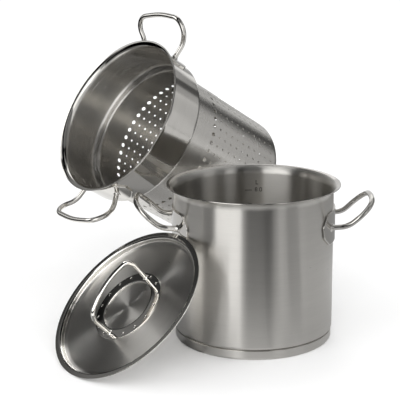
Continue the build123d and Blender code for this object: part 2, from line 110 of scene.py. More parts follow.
def rounded(points, step=7.0):
    """A closed outline of (x, z, radius) corners as (x, z, nx, nz) samples, outward normals exact. Runs counterclockwise."""
    n = len(points)
    out = []
    for i in range(n):
        x, z, r = points[i]
        p = Vector((x, z))
        a = Vector(points[i - 1][:2])
        b = Vector(points[(i + 1) % n][:2])
        u = (a - p).normalized()
        v = (b - p).normalized()
        nu = Vector((-u.y, u.x))      # outward normal of the run that arrives (counterclockwise outline)
        nv = Vector((v.y, -v.x))
        turn = math.acos(max(-1, min(1, u.dot(v))))
        bend = math.pi - turn
        if r <= 0 or bend < 1e-4:
            out.append((p.x, p.y, nu.x, nu.y))
            if bend > 1e-4:
                out.append((p.x, p.y, nv.x, nv.y))
            continue
        t = r / math.tan(turn / 2)
        c = p + (u + v).normalized() * (r / math.sin(turn / 2))
        k = max(2, int(math.ceil(math.degrees(bend) / step)))
        a0 = (p + u * t) - c
        sign = 1 if (a0.x * (p + v * t - c).y - a0.y * (p + v * t - c).x) > 0 else -1
        outward = 1 if nu.dot(a0) > 0 else -1
        for j in range(k + 1):
            ang = sign * bend * j / k
            d = Vector((a0.x * math.cos(ang) - a0.y * math.sin(ang), a0.x * math.sin(ang) + a0.y * math.cos(ang)))
            q = c + d
            d = d.normalized() * outward
            out.append((q.x, q.y, d.x, d.y))
    return out


def lathe(name, outline, fr, segs, close=True, **kw):
    """Turns an outline of (r, z, nr, nz) about the frame's axis; samples at r = 0 become one point."""
    verts, normals, rings = [], [], []
    for r, z, nr, nz in outline:
        if r < 1e-6:
            rings.append([len(verts)])
            verts.append(fr.p(0, 0, z))
            normals.append(fr.v(0, 0, 1 if nz >= 0 else -1))
            continue
        ring = []
        for s in range(segs):
            a = 2 * math.pi * s / segs
            ca, sa = math.cos(a), math.sin(a)
            ring.append(len(verts))
            verts.append(fr.p(r * ca, r * sa, z))
            normals.append(fr.v(nr * ca, nr * sa, nz))
        rings.append(ring)
    faces = []
    n = len(rings)
    for i in range(n if close else n - 1):
        a, b = rings[i], rings[(i + 1) % n]
        ra, rb = outline[i], outline[(i + 1) % n]
        if abs(ra[0] - rb[0]) < 1e-7 and abs(ra[1] - rb[1]) < 1e-7:
            continue                       # a sharp corner: two rings at one place
        if len(a) == 1 and len(b) == 1:
            continue
        for s in range(segs):
            t = (s + 1) % segs
            if len(a) == 1:
                faces.append((a[0], b[t], b[s]))
            elif len(b) == 1:
                faces.append((a[s], a[t], b[0]))
            else:
                faces.append((a[s], a[t], b[t], b[s]))
    return make(name, verts, faces, normals, **kw)


def densify(samples, step):
    """Adds samples along the straight runs of an outline, so long faces stay well shaped."""
    out = []
    n = len(samples)
    for i in range(n):
        a, b = samples[i], samples[(i + 1) % n]
        out.append(a)
        d = math.hypot(b[0] - a[0], b[1] - a[1])
        same = abs(a[2] - b[2]) + abs(a[3] - b[3]) < 1e-6
        if same and d > step * 1.5:
            k = int(d / step)
            for j in range(1, k):
                f = j / k
                out.append((a[0] + (b[0] - a[0]) * f, a[1] + (b[1] - a[1]) * f, a[2], a[3]))
    return out


def fillet_path(points, radii, step=4.0):
    """Straight runs joined by tangent arcs, as dense points."""
    pts = [Vector(p) for p in points]
    out = [pts[0]]
    for i in range(1, len(pts) - 1):
        p, r = pts[i], radii[i - 1]
        u = (pts[i - 1] - p).normalized()
        v = (pts[i + 1] - p).normalized()
        turn = u.angle(v)
        t = r / math.tan(turn / 2)
        c = p + (u + v).normalized() * (r / math.sin(turn / 2))
        s, e = p + u * t - c, p + v * t - c
        bend = math.pi - turn
        k = max(4, int(math.ceil(math.degrees(bend) / step)))
        for j in range(k + 1):
            f = j / k
            out.append(c + (s * math.sin((1 - f) * bend) + e * math.sin(f * bend)) / math.sin(bend))
    out.append(pts[-1])
    dense = [out[0]]
    for a, b in zip(out, out[1:]):
        d = (b - a).length
        k = max(1, int(d / 3.0))
        for j in range(1, k + 1):
            dense.append(a + (b - a) * j / k)
    return dense


def tube(name, path, radius, fr, sides=36, **kw):
    """A round rod along a path in the frame, with a UV layer of (metres along, metres round)."""
    n = len(path)
    tangents = []
    for i in range(n):
        a, b = path[max(i - 1, 0)], path[min(i + 1, n - 1)]
        tangents.append((b - a).normalized())
    ref = Vector((0, 0, 1)) if abs(tangents[0].z) < 0.9 else Vector((1, 0, 0))
    u = (ref - tangents[0] * ref.dot(tangents[0])).normalized()
    verts, normals, along = [], [], []
    total = 0.0
    for i in range(n):
        t = tangents[i]
        u = (u - t * u.dot(t)).normalized()
        w = t.cross(u)
        if i:
            total += (path[i] - path[i - 1]).length
        for s in range(sides):
            a = 2 * math.pi * s / sides
            d = u * math.cos(a) + w * math.sin(a)
            q = path[i] + d * radius
            verts.append(fr.p(*q))
            normals.append(fr.v(*d))
            along.append((total * MM, s / sides * 2 * math.pi * radius * MM))
    faces = []
    for i in range(n - 1):
        for s in range(sides):
            t = (s + 1) % sides
            faces.append((i * sides + s, i * sides + t, (i + 1) * sides + t, (i + 1) * sides + s))
    cap = len(verts)
    for end in (0, n - 1):
        verts.append(fr.p(*path[end]))
        normals.append(fr.v(*(tangents[end] * (-1 if end == 0 else 1))))
        along.append((total * MM * (end > 0), 0))
    for s in range(sides):
        t = (s + 1) % sides
        faces.append((s, cap, t))
        faces.append(((n - 1) * sides + s, (n - 1) * sides + t, cap + 1))
    ob = make(name, verts, faces, normals, **kw)
    uv = ob.data.uv_layers.new(name="rod")
    loops = np.zeros(len(ob.data.loops), np.int32)
    ob.data.loops.foreach_get("vertex_index", loops)
    co = np.array(along, np.float32)[loops]
    # the face that closes the round takes its far edge's value from the full turn
    full = 2 * math.pi * radius * MM
    starts = np.zeros(len(ob.data.polygons), np.int32)
    counts = np.zeros(len(ob.data.polygons), np.int32)
    ob.data.polygons.foreach_get("loop_start", starts)
    ob.data.polygons.foreach_get("loop_total", counts)
    for st, ct in zip(starts, counts):
        v = co[st:st + ct, 1]
        if v.max() - v.min() > full / 2:
            v[v < full / 2] += full
    uv.data.foreach_set("uv", co.reshape(-1))
    return ob


def circle_points(cx, cy, r, n, start=0.0):
    return [(cx + r * math.cos(start + 2 * math.pi * i / n), cy + r * math.sin(start + 2 * math.pi * i / n)) for i in range(n)]


# ------------------------------------------------------------------ materials
def nodes_of(name):
    m = bpy.data.materials.new(name)
    m.use_nodes = True
    nt = m.node_tree
    nt.nodes.clear()
    out = nt.nodes.new("ShaderNodeOutputMaterial")
    bsdf = nt.nodes.new("ShaderNodeBsdfPrincipled")
    nt.links.new(bsdf.outputs["BSDF"], out.inputs["Surface"])
    return m, nt, bsdf


class Net:
    """Short forms for building a node network."""

    def __init__(self, nt):
        self.nt = nt

    def _in(self, node, index, value):
        if value is None:
            return
        if isinstance(value, bpy.types.NodeSocket):
            self.nt.links.new(value, node.inputs[index])
        else:
            node.inputs[index].default_value = value

    def math(self, op, a, b=None, c=None, clamp=False):
        n = self.nt.nodes.new("ShaderNodeMath")
        n.operation = op
        n.use_clamp = clamp
        self._in(n, 0, a), self._in(n, 1, b), self._in(n, 2, c)
        return n.outputs[0]

    def vec(self, op, a, b=None, scale=None):
        n = self.nt.nodes.new("ShaderNodeVectorMath")
        n.operation = op
        self._in(n, 0, a)
        if b is not None:
            self._in(n, 1, b)
        if scale is not None:
            self._in(n, "Scale", scale)
        return n.outputs["Value"] if op in ("DOT_PRODUCT", "LENGTH", "DISTANCE") else n.outputs[0]

    def xyz(self, x, y, z):
        n = self.nt.nodes.new("ShaderNodeCombineXYZ")
        self._in(n, 0, x), self._in(n, 1, y), self._in(n, 2, z)
        return n.outputs[0]

    def noise(self, vector, scale, detail=2.0, rough=0.5, w=None, distortion=0.0):
        n = self.nt.nodes.new("ShaderNodeTexNoise")
        n.noise_dimensions = "4D" if w is not None else "3D"
        self.nt.links.new(vector, n.inputs["Vector"])
        if w is not None:
            self._in(n, "W", w)
        n.inputs["Scale"].default_value = scale
        n.inputs["Detail"].default_value = detail
        n.inputs["Roughness"].default_value = rough
        n.inputs["Distortion"].default_value = distortion
        return n.outputs["Fac"]

    def ramp(self, value, low, high, to_low=0.0, to_high=1.0, smooth=True):
        n = self.nt.nodes.new("ShaderNodeMapRange")
        n.interpolation_type = "SMOOTHSTEP" if smooth else "LINEAR"
        n.clamp = True if not smooth else n.clamp
        self._in(n, 0, value)
        n.inputs[1].default_value, n.inputs[2].default_value = low, high
        n.inputs[3].default_value, n.inputs[4].default_value = to_low, to_high
        return n.outputs[0]

    def mixc(self, fac, a, b):
        n = self.nt.nodes.new("ShaderNodeMix")
        n.data_type = "RGBA"
        self._in(n, 0, fac)
        self._in(n, 6, a), self._in(n, 7, b)
        return n.outputs[2]

    def mixf(self, fac, a, b):
        n = self.nt.nodes.new("ShaderNodeMix")
        n.data_type = "FLOAT"
        self._in(n, 0, fac)
        self._in(n, 2, a), self._in(n, 3, b)
        return n.outputs[0]

    def bump(self, height, distance, strength=1.0):
        n = self.nt.nodes.new("ShaderNodeBump")
        n.inputs["Strength"].default_value = strength
        n.inputs["Distance"].default_value = distance
        self.nt.links.new(height, n.inputs["Height"])
        return n.outputs["Normal"]


def turned_coords(g, fr):
    """Height, radius and direction about a frame's axis, in metres, and the way the grain runs (world space)."""
    tc = g.nt.nodes.new("ShaderNodeTexCoord")
    p = g.vec("SUBTRACT", tc.outputs["Object"], tuple(fr.o))
    h = g.vec("DOT_PRODUCT", p, tuple(fr.z))
    rad = g.vec("SUBTRACT", p, g.vec("SCALE", tuple(fr.z), scale=h))
    r = g.vec("LENGTH", rad)
    er = g.vec("NORMALIZE", rad)
    ec = g.vec("CROSS_PRODUCT", tuple(fr.z), er)
    tr = g.nt.nodes.new("ShaderNodeVectorTransform")
    tr.vector_type, tr.convert_from, tr.convert_to = "VECTOR", "OBJECT", "WORLD"
    g.nt.links.new(ec, tr.inputs[0])
    geo = g.nt.nodes.new("ShaderNodeNewGeometry")
    tangent = g.vec("NORMALIZE", g.vec("CROSS_PRODUCT", geo.outputs["Normal"], tr.outputs[0]))
    return p, h, r, er, tangent


def brushed(name, fr, tint=(0.70, 0.69, 0.675), rough=0.36, aniso=1.0, polish=None, grain=1.0, blotch=0.05, comb=0.4, relief=0.000006):
    """Steel brushed round a frame's axis. polish is a list of (what, low, high, roughness): a window in h or r, in mm, where it is polished."""
    m, nt, bsdf = nodes_of(name)
    g = Net(nt)
    p, h, r, er, tangent = turned_coords(g, fr)
    c = g.vec("DOT_PRODUCT", er, tuple(fr.x))
    s = g.vec("DOT_PRODUCT", er, tuple(fr.y))

    def lines(k, along, detail=2.0):
        """Grain k lines per metre across, slow along the turn."""
        v = g.xyz(g.math("MULTIPLY", r, k), g.math("MULTIPLY", h, k), g.math("MULTIPLY", c, along))
        return g.noise(v, 1.0, detail, 0.6, w=g.math("MULTIPLY", s, along))

    fine = lines(5200.0, 9.0)
    mid = lines(900.0, 5.0, 3.0)
    broad = lines(120.0, 1.6, 3.0)
    cloud = g.noise(p, 11.0, 3.0, 0.55)
    tone = g.math("ADD", g.math("MULTIPLY", g.math("SUBTRACT", mid, 0.5), 0.10 * grain),
                  g.math("MULTIPLY", g.math("SUBTRACT", fine, 0.5), 0.10 * grain))
    tone = g.math("ADD", tone, g.math("MULTIPLY", g.math("SUBTRACT", broad, 0.5), 0.10 * grain))
    tone = g.math("ADD", tone, g.math("MULTIPLY", g.math("SUBTRACT", cloud, 0.5), blotch))
    tone = g.math("ADD", tone, 1.0)
    base = g.vec("SCALE", tint, scale=tone)
    ro = g.math("ADD", rough, g.math("MULTIPLY", g.math("SUBTRACT", mid, 0.5), 0.10 * grain))
    ro = g.math("ADD", ro, g.math("MULTIPLY", g.math("SUBTRACT", cloud, 0.5), 0.05))
    height = g.math("ADD", g.math("MULTIPLY", fine, 0.6), g.math("MULTIPLY", mid, 0.4))
    strength = None
    for what, low, high, value in polish or ():
        src = {"h": h, "r": r}[what]
        lo = g.ramp(src, (low - 0.6) * MM, (low + 0.6) * MM)
        hi = g.ramp(src, (high - 0.6) * MM, (high + 0.6) * MM, 1.0, 0.0)
        mask = g.math("MULTIPLY", lo, hi)
        ro = g.mixf(mask, ro, value)
        strength = mask if strength is None else g.math("MAXIMUM", strength, mask)
    nt.links.new(base, bsdf.inputs["Base Color"])
    nt.links.new(ro, bsdf.inputs["Roughness"])
    nt.links.new(tangent, bsdf.inputs["Tangent"])
    if strength is not None:
        height = g.math("MULTIPLY", height, g.math("SUBTRACT", 1.0, g.math("MULTIPLY", strength, 0.9)))
    # each line of the grain leans a little its own way, which draws reflections out across the grain
    lean = g.math("MULTIPLY", g.math("SUBTRACT", lines(9000.0, 3.0), 0.5), comb)
    if strength is not None:
        lean = g.math("MULTIPLY", lean, g.math("SUBTRACT", 1.0, strength))
    geo = nt.nodes.new("ShaderNodeNewGeometry")
    combed = g.vec("NORMALIZE", g.vec("ADD", geo.outputs["Normal"], g.vec("SCALE", tangent, scale=lean)))
    ridge = g.bump(height, relief)
    nt.links.new(combed, ridge.node.inputs["Normal"])
    nt.links.new(ridge, bsdf.inputs["Normal"])
    bsdf.inputs["Metallic"].default_value = 1.0
    bsdf.inputs["Anisotropic"].default_value = aniso
    return m


def polished(name, tint=(0.70, 0.69, 0.68), rough=0.10, wave=0.00002, uv=None, aniso=0.0):
    """Polished steel: soft cloudy roughness, faint rub marks and a slow unevenness of the surface."""
    m, nt, bsdf = nodes_of(name)
    g = Net(nt)
    tc = nt.nodes.new("ShaderNodeTexCoord")
    src = tc.outputs["Object"]
    cloud = g.noise(src, 60.0, 3.0, 0.6)
    haze = g.noise(src, 9.0, 2.0, 0.5)
    fine = g.noise(src, 1400.0, 2.0, 0.6)
    tone = g.math("ADD", 1.0, g.math("MULTIPLY", g.math("SUBTRACT", haze, 0.5), 0.06))
    tone = g.math("ADD", tone, g.math("MULTIPLY", g.math("SUBTRACT", fine, 0.5), 0.03))
    nt.links.new(g.vec("SCALE", tint, scale=tone), bsdf.inputs["Base Color"])
    ro = g.math("ADD", rough, g.math("MULTIPLY", g.math("SUBTRACT", cloud, 0.45), rough * 0.7))
    if uv:
        u = nt.nodes.new("ShaderNodeUVMap")
        u.uv_map = uv
        sp = nt.nodes.new("ShaderNodeSeparateXYZ")
        nt.links.new(u.outputs[0], sp.inputs[0])
        line = g.noise(g.xyz(g.math("MULTIPLY", sp.outputs[0], 60.0), g.math("MULTIPLY", sp.outputs[1], 3500.0), 0.0), 1.0, 2.0, 0.6)
        ro = g.math("ADD", ro, g.math("MULTIPLY", g.math("SUBTRACT", line, 0.5), rough * 0.6))
        height = g.math("ADD", g.math("MULTIPLY", cloud, 1.0), g.math("MULTIPLY", line, 0.12))
    else:
        height = g.math("ADD", cloud, g.math("MULTIPLY", fine, 0.05))
    nt.links.new(g.math("MAXIMUM", ro, 0.02), bsdf.inputs["Roughness"])
    nt.links.new(g.bump(height, wave), bsdf.inputs["Normal"])
    bsdf.inputs["Metallic"].default_value = 1.0
    bsdf.inputs["Anisotropic"].default_value = aniso
    return m


STEEL = (0.672, 0.655, 0.622)
M_POT = brushed("pot_brushed", POT, STEEL, 0.30, 1.0, polish=[("h", 234.6, 240.0, 0.16)], comb=0.10)
M_CAP = brushed("capsule_brushed", POT, STEEL, 0.30, 1.0, comb=0.10)
M_INS = brushed("insert_brushed", INS, STEEL, 0.25, 1.0, polish=[("r", 123.2, 140.0, 0.06)], grain=1.0, comb=0.07, relief=0.000008)
M_LID = brushed("lid_brushed", LID, STEEL, 0.30, 1.0, polish=[("r", 116.8, 140.0, 0.09)], grain=1.0, comb=0.08, relief=0.000008)
M_ROD = polished("rod_polished", STEEL, 0.10, 0.00001, uv="rod")
M_PLATE = polished("plate_polished", STEEL, 0.09)
M_WELD = polished("weld_polished", STEEL, 0.14, 0.00003)
M_RING = polished("ring_mirror", STEEL, 0.035, 0.000006)


def plain_metal(name, color, rough, bump=0.00001, scale=700.0):
    m, nt, bsdf = nodes_of(name)
    g = Net(nt)
    tc = nt.nodes.new("ShaderNodeTexCoord")
    n1 = g.noise(tc.outputs["Object"], scale, 3.0, 0.6)
    n2 = g.noise(tc.outputs["Object"], 40.0, 2.0, 0.5)
    tone = g.math("ADD", 0.85, g.math("ADD", g.math("MULTIPLY", n1, 0.2), g.math("MULTIPLY", n2, 0.1)))
    nt.links.new(g.vec("SCALE", color, scale=tone), bsdf.inputs["Base Color"])
    nt.links.new(g.math("ADD", rough, g.math("MULTIPLY", g.math("SUBTRACT", n1, 0.5), 0.2)), bsdf.inputs["Roughness"])
    nt.links.new(g.bump(n1, bump), bsdf.inputs["Normal"])
    bsdf.inputs["Metallic"].default_value = 1.0
    return m


M_CORE = plain_metal("core_aluminium", (0.77, 0.77, 0.78), 0.42)
M_MARK = plain_metal("scale_etched", (0.10, 0.095, 0.085), 0.6)


def paint(node, material):
    ob = frame["nodes"][node]
    ob.data.materials.clear()
    ob.data.materials.append(material)


paint("base_core", M_CORE)
paint("pot_litre_scale", M_MARK)

# ------------------------------------------------------------------ pot shell
pot_outline = rounded([
    (0, FLOOR_Z, 0), (POT_R, FLOOR_Z, 5.0), (POT_R, 233.25, 13.35),
    (130.34, 235.75, 0.42), (130.06, 236.93, 0.45), (POT_R - SHEET, 234.1, 14.55),
    (POT_R - SHEET, FLOOR_Z + SHEET, 3.8), (0, FLOOR_Z + SHEET, 0),
], 4.0)
lathe("pot_body", densify(pot_outline, 12.0), POT, 384, mat=M_POT, body="pot", slot="pot_steel", nodes=["pot_shell"])

cap_outline = rounded([
    (0, 0, 0), (CAP_R, 0, 4.0), (CAP_R, FLOOR_Z - 0.8, 0.9), (CAP_R - 1.9, FLOOR_Z, 0.5),
    (CAP_R - 3.5, FLOOR_Z, 0.0), (CAP_R - CAP_T, FLOOR_Z - 2.0, 0), (CAP_R - CAP_T, CAP_T, 2.5), (0, CAP_T, 0),
], 6.0)
lathe("base_cup", densify(cap_outline, 12.0), POT, 384, mat=M_CAP, body="pot", slot="capsule_steel", nodes=["base_capsule"])


# ------------------------------------------------------------------ handles, plates and welds
def mirrored(points):
    near = [(x, -y, z) for x, y, z in points[:-1]]
    far = [(x, y, z) for x, y, z in reversed(points[:-1])]
    return near + [points[-1]] + far


def flip(fr):
    """The same frame turned half way round its axis."""
    f = Frame((0, 0, 0), (1, 0, 0), (0, 0, 1))
    f.o, f.z, f.x, f.y = fr.o, fr.z, -fr.x, -fr.y
    return f


def side_handle(tag, fr, rod, radii, body, nodes):
    pts = [Vector(p) for p in mirrored(rod)]
    pts[0] = pts[0] + (pts[0] - pts[1]).normalized() * 1.2
    pts[-1] = pts[-1] + (pts[-1] - pts[-2]).normalized() * 1.2
    return tube(tag, fillet_path(pts, radii), ROD_R, fr, mat=M_ROD, body=body, slot="rod_steel", nodes=nodes)


def weld_plate(tag, fr, wall_r, corners, radius, body, nodes):
    """A plate curved round the wall: a rounded outline seen square on, with a softly rounded edge."""
    area = sum(corners[i][0] * corners[(i + 1) % len(corners)][1] - corners[(i + 1) % len(corners)][0] * corners[i][1] for i in range(len(corners)))
    if area < 0:
        corners = corners[::-1]
    line = rounded([(y, z, radius) for y, z in corners], 5.0)
    line = densify(line, 4.0)
    verts, normals, faces = [], [], []
    edge = 1.1
    top = wall_r + PLATE_T

    def put(y, z, r, ny, nz, lift):
        """lift is the share of the normal that points away from the wall."""
        x = math.sqrt(max(r * r - y * y, 0))
        out = Vector((x / r, y / r, 0))
        side = Vector((-y / r * ny, x / r * ny, nz))
        side = side.normalized() if side.length else side
        verts.append(fr.p(x, y, z))
        normals.append(fr.v(*(out * lift + side * math.sqrt(max(0, 1 - lift * lift)))))
        return len(verts) - 1

    rings = []
    rings.append([put(y, z, wall_r + 0.001, ny, nz, 0.0) for y, z, ny, nz in line])
    for k in range(7):
        a = math.pi / 2 * k / 6
        inset = edge * (1 - math.cos(a))
        lift = math.sin(a)
        rr = top - edge + edge * math.sin(a)
        rings.append([put(y - ny * inset, z - nz * inset, rr, ny, nz, lift) for y, z, ny, nz in line])
    m = len(line)
    for a, b in zip(rings, rings[1:]):
        for i in range(m):
            j = (i + 1) % m
            faces.append((a[i], a[j], b[j], b[i]))
    for which, r, up in ((-1, top, 1.0), (0, wall_r + 0.001, -1.0)):
        edge_ids = rings[which]
        flat = []
        for (y, z, ny, nz) in line:
            inset = edge if which == -1 else 0.0
            flat.append((y - ny * inset, z - nz * inset))
        ys = [q[0] for q in flat]
        zs = [q[1] for q in flat]
        extra = []
        step = 4.0
        y = min(ys) + step
        while y < max(ys) - 1:
            z = min(zs) + step
            while z < max(zs) - 1:
                inside = True
                for i in range(m):
                    a, b = flat[i], flat[(i + 1) % m]
                    if (b[0] - a[0]) * (z - a[1]) - (b[1] - a[1]) * (y - a[0]) < 2.0 * math.hypot(b[0] - a[0], b[1] - a[1]):
                        inside = False
                        break
                if inside:
                    extra.append((y, z))
                z += step
            y += step
        pts = [Vector(q) for q in flat + extra]
        res = delaunay_2d_cdt(pts, [(i, (i + 1) % m) for i in range(m)], [], 1, 1e-6)
        ids = []
        for v, orig in zip(res[0], res[3]):
            k = orig[0] if orig else -1
            if 0 <= k < m:
                ids.append(edge_ids[k])
            else:
                ids.append(put(v.x, v.y, r, 0, 0, 1.0))
                if up < 0:
                    normals[-1] = -normals[-1]
        for f in res[2]:
            face = [ids[i] for i in f]
            faces.append(tuple(face if up > 0 else face[::-1]))
    if which == 0:
        pass
    return make(tag, verts, faces, normals, mat=M_PLATE, body=body, slot="plate_steel", nodes=nodes)


def weld_fillets(tag, fr, rod, plate_r, reach, rise, body, nodes):
    """Two concave weld fillets, each from the plate up on to the rod, with a faint bead."""
    verts, faces = [], []
    for side in (-1, 1):
        foot = Vector((rod[0][0], side * rod[0][1], rod[0][2]))
        d = (Vector((rod[1][0], side * rod[1][1], rod[1][2])) - foot).normalized()
        e1 = Vector((0, 0, 1))
        e1 = (e1 - d * e1.dot(d)).normalized()
        e2 = d.cross(e1)
        n, k = 48, 10
        base = len(verts)
        for j in range(k + 1):
            t = j / k
            rho = (ROD_R + 0.02) + (reach - ROD_R) * (1 - math.cos(t * math.pi / 2)) if j else ROD_R - 0.15
            up = rise * (1 - math.sin(t * math.pi / 2))
            for i in range(n):
                a = 2 * math.pi * i / n
                w = 1 + 0.035 * math.sin(7 * a + side) * t + 0.02 * math.sin(13 * a + 2.1) * t
                q = foot + (e1 * math.cos(a) + e2 * math.sin(a)) * rho * w
                aa, bb = d.x * d.x + d.y * d.y, 2 * (q.x * d.x + q.y * d.y)
                cc = q.x * q.x + q.y * q.y - (plate_r - 0.05) ** 2
                s = (-bb + math.sqrt(max(bb * bb - 4 * aa * cc, 0))) / (2 * aa)
                q = q + d * (s + up)
                verts.append(fr.p(*q))
        for j in range(k):
            for i in range(n):
                i2 = (i + 1) % n
                faces.append((base + j * n + i, base + (j + 1) * n + i, base + (j + 1) * n + i2, base + j * n + i2))
        # closed underneath, inside the plate
        under = len(verts)
        verts.append(fr.p(*(foot - d * 0.2)))
        for i in range(n):
            i2 = (i + 1) % n
            faces.append((base + k * n + i, under, base + k * n + i2))
        lid = len(verts)
        verts.append(fr.p(*(foot + d * (rise * 0.9))))
        for i in range(n):
            i2 = (i + 1) % n
            faces.append((base + i2, lid, base + i))
    return make(tag, verts, faces, None, mat=M_WELD, body=body, slot="weld_steel", nodes=nodes, sharp=60)


POT_PLATE = [(-60, 203), (60, 203), (72, 185), (69, 167), (54, 154), (-54, 154), (-69, 167), (-72, 185)]
INS_PLATE = [(-56, -12), (56, -12), (67, -27), (65, -43), (52, -54), (-52, -54), (-65, -43), (-67, -27)]
for tag, fr in (("right", POT), ("left", flip(POT))):
    side_handle(f"pot_rod_{tag}", fr, POT_ROD, [28, 30, 120, 30, 28], "pot", [f"pot_handle_{tag}"])
    weld_plate(f"pot_pad_{tag}", fr, POT_R, POT_PLATE, 11, "pot", [f"pot_plate_{tag}"])
    weld_fillets(f"pot_fillets_{tag}", fr, POT_ROD, POT_R + PLATE_T, 6.6, 5.2, "pot", [f"pot_welds_{tag}"])
for tag, fr in (("lower", INS), ("upper", flip(INS))):
    side_handle(f"insert_rod_{tag}", fr, INS_ROD, [32, 22, 170, 22, 32], "insert", [f"insert_handle_{tag}"])
    weld_plate(f"insert_pad_{tag}", fr, INS_R, INS_PLATE, 10, "insert", [f"insert_plate_{tag}"])
    weld_fillets(f"insert_fillets_{tag}", fr, INS_ROD, INS_R + PLATE_T, 6.6, 5.2, "insert", [f"insert_welds_{tag}"])


# ------------------------------------------------------------------ insert shell
def insert_mesh():
    fr = INS
    per_cell = 6                                   # edge points of a cell along each side
    segs = HOLES_ROUND * per_cell
    verts, normals, faces = [], [], []
    key = {}

    def put(r, a, z, n, tag=0):
        k = (round(r, 4), round(a * 1e6) % 6283185, round(z, 4), tag)
        if k in key:
            return key[k]
        key[k] = len(verts)
        ca, sa = math.cos(a), math.sin(a)
        verts.append(fr.p(r * ca, r * sa, z))
        nr, nt, nz = n
        normals.append(fr.v(nr * ca - nt * sa, nr * sa + nt * ca, nz))
        return key[k]

    cell = 2 * math.pi / HOLES_ROUND
    z_top = -BIG_ROW + ROW_PITCH / 2
    z_bot = -BIG_ROW - ROW_PITCH * SMALL_ROWS - ROW_PITCH / 2
    # wall above and below the holes, and everything else that is turned
    outer = rounded([
        (0, -INS_DEPTH, 0), (BASKET_R, -INS_DEPTH, BASKET_CORNER), (BASKET_R, -INS_SHOULDER, 3.5),
        (INS_R, -INS_SHOULDER, INS_STEP_R), (INS_R, -2.9, 10.6),
        (131.6, -0.99, 0.38), (131.37, -0.03, 0.38), (INS_R - INS_SHEET, -2.2, 11.6),
        (INS_R - INS_SHEET, -INS_SHOULDER + INS_SHEET, INS_STEP_R - INS_SHEET), (BASKET_R - INS_SHEET, -INS_SHOULDER + INS_SHEET, 4.5),
        (BASKET_R - INS_SHEET, -INS_DEPTH + INS_SHEET, BASKET_CORNER - INS_SHEET), (0, -INS_DEPTH + INS_SHEET, 0),
    ], 5.0)
    # the outline is cut where the perforated wall and the perforated floor take over
    floor_r = 92.0
    runs = []                                       # open runs of samples, each turned on its own
    split = []
    n = len(outer)
    for i in range(n):
        a, b = outer[i], outer[(i + 1) % n]
        split.append(a)
        if abs(a[0] - b[0]) < 1e-3 and abs(a[1] - b[1]) > 100:          # the basket's straight wall
            for z in ((z_bot, z_top) if b[1] > a[1] else (z_top, z_bot)):
                split.append((a[0], z, a[2], a[3]))
        if abs(a[1] - b[1]) < 1e-6 and max(a[0], b[0]) > 90 and min(a[0], b[0]) < 1e-6:    # the floor
            split.append((floor_r, a[1], a[2], a[3]))
    current = []
    for q in split + split[:1]:
        current.append(q)
        on_wall = abs(abs(q[2]) - 1) < 1e-4 and (abs(q[1] - z_top) < 1e-6 or abs(q[1] - z_bot) < 1e-6)
        on_floor = abs(q[0] - floor_r) < 1e-6
        if (on_wall or on_floor) and len(current) > 1:
            runs.append(current)
            current = [q]
    runs.append(current)
    for run in runs:
        if len(run) < 2:
            continue
        zs = {round(q[1], 4) for q in run}
        if len(run) == 2 and zs == {round(z_top, 4), round(z_bot, 4)}:
            continue                                # perforated wall
        if any(q[0] < 1e-6 for q in run):
            continue                                # perforated floor
        rings = []
        for q in densify(run + [run[-1]], 10.0)[:-1] if len(run) > 2 else run:
            rings.append([put(q[0], 2 * math.pi * s / segs - cell / 2, q[1], (q[2], 0, q[3])) for s in range(segs)])
        for a, b in zip(rings, rings[1:]):
            for s in range(segs):
                t = (s + 1) % segs
                if a[s] != b[s]:
                    faces.append((a[s], a[t], b[t], b[s]))
    # perforated wall, one cell for each hole
    ro, ri = BASKET_R, BASKET_R - INS_SHEET
    m = per_cell * 4
    for k in range(SMALL_ROWS + 1):
        zc = -BIG_ROW - ROW_PITCH * k
        rad = (BIG_HOLE_D if k == 0 else SMALL_HOLE_D) / 2
        for j in range(HOLES_ROUND):
            ac = j * cell
            square, away = [], []
            for side in range(4):
                for i in range(per_cell):
                    f = i / per_cell - 0.5
                    u, v = ((f, -0.5), (0.5, f), (-f, 0.5), (-0.5, -f))[side]
                    square.append((u, v))
            loops = {}
            for surf, r, sign in (("o", ro, 1), ("i", ri, -1)):
                ring = [put(r, ac + u * cell, zc + v * ROW_PITCH, (sign, 0, 0)) for u, v in square]
                rows = [ring]
                for scale, tag in ((1.9 if k else 1.28, 0), (1.0 + 0.22 / rad, 0)):
                    ring = []
                    for u, v in square:
                        a = math.atan2(v * ROW_PITCH, u * cell * r)
                        ring.append(put(r, ac + math.cos(a) * rad * scale / r, zc + math.sin(a) * rad * scale, (sign, 0, 0)))
                    rows.append(ring)
                lip = []
                for u, v in square:
                    a = math.atan2(v * ROW_PITCH, u * cell * r)
                    lip.append(put(r - sign * 0.2, ac + math.cos(a) * rad / r, zc + math.sin(a) * rad, (sign * 0.35, -math.cos(a) * 0.93, -math.sin(a) * 0.93), 1))
                rows.append(lip)
                for a, b in zip(rows, rows[1:]):
                    for i in range(m):
                        t = (i + 1) % m
                        f = (a[i], a[t], b[t], b[i])
                        faces.append(f if sign > 0 else f[::-1])
                loops[surf] = lip
            for i in range(m):
                t = (i + 1) % m
                faces.append((loops["o"][i], loops["o"][t], loops["i"][t], loops["i"][i]))
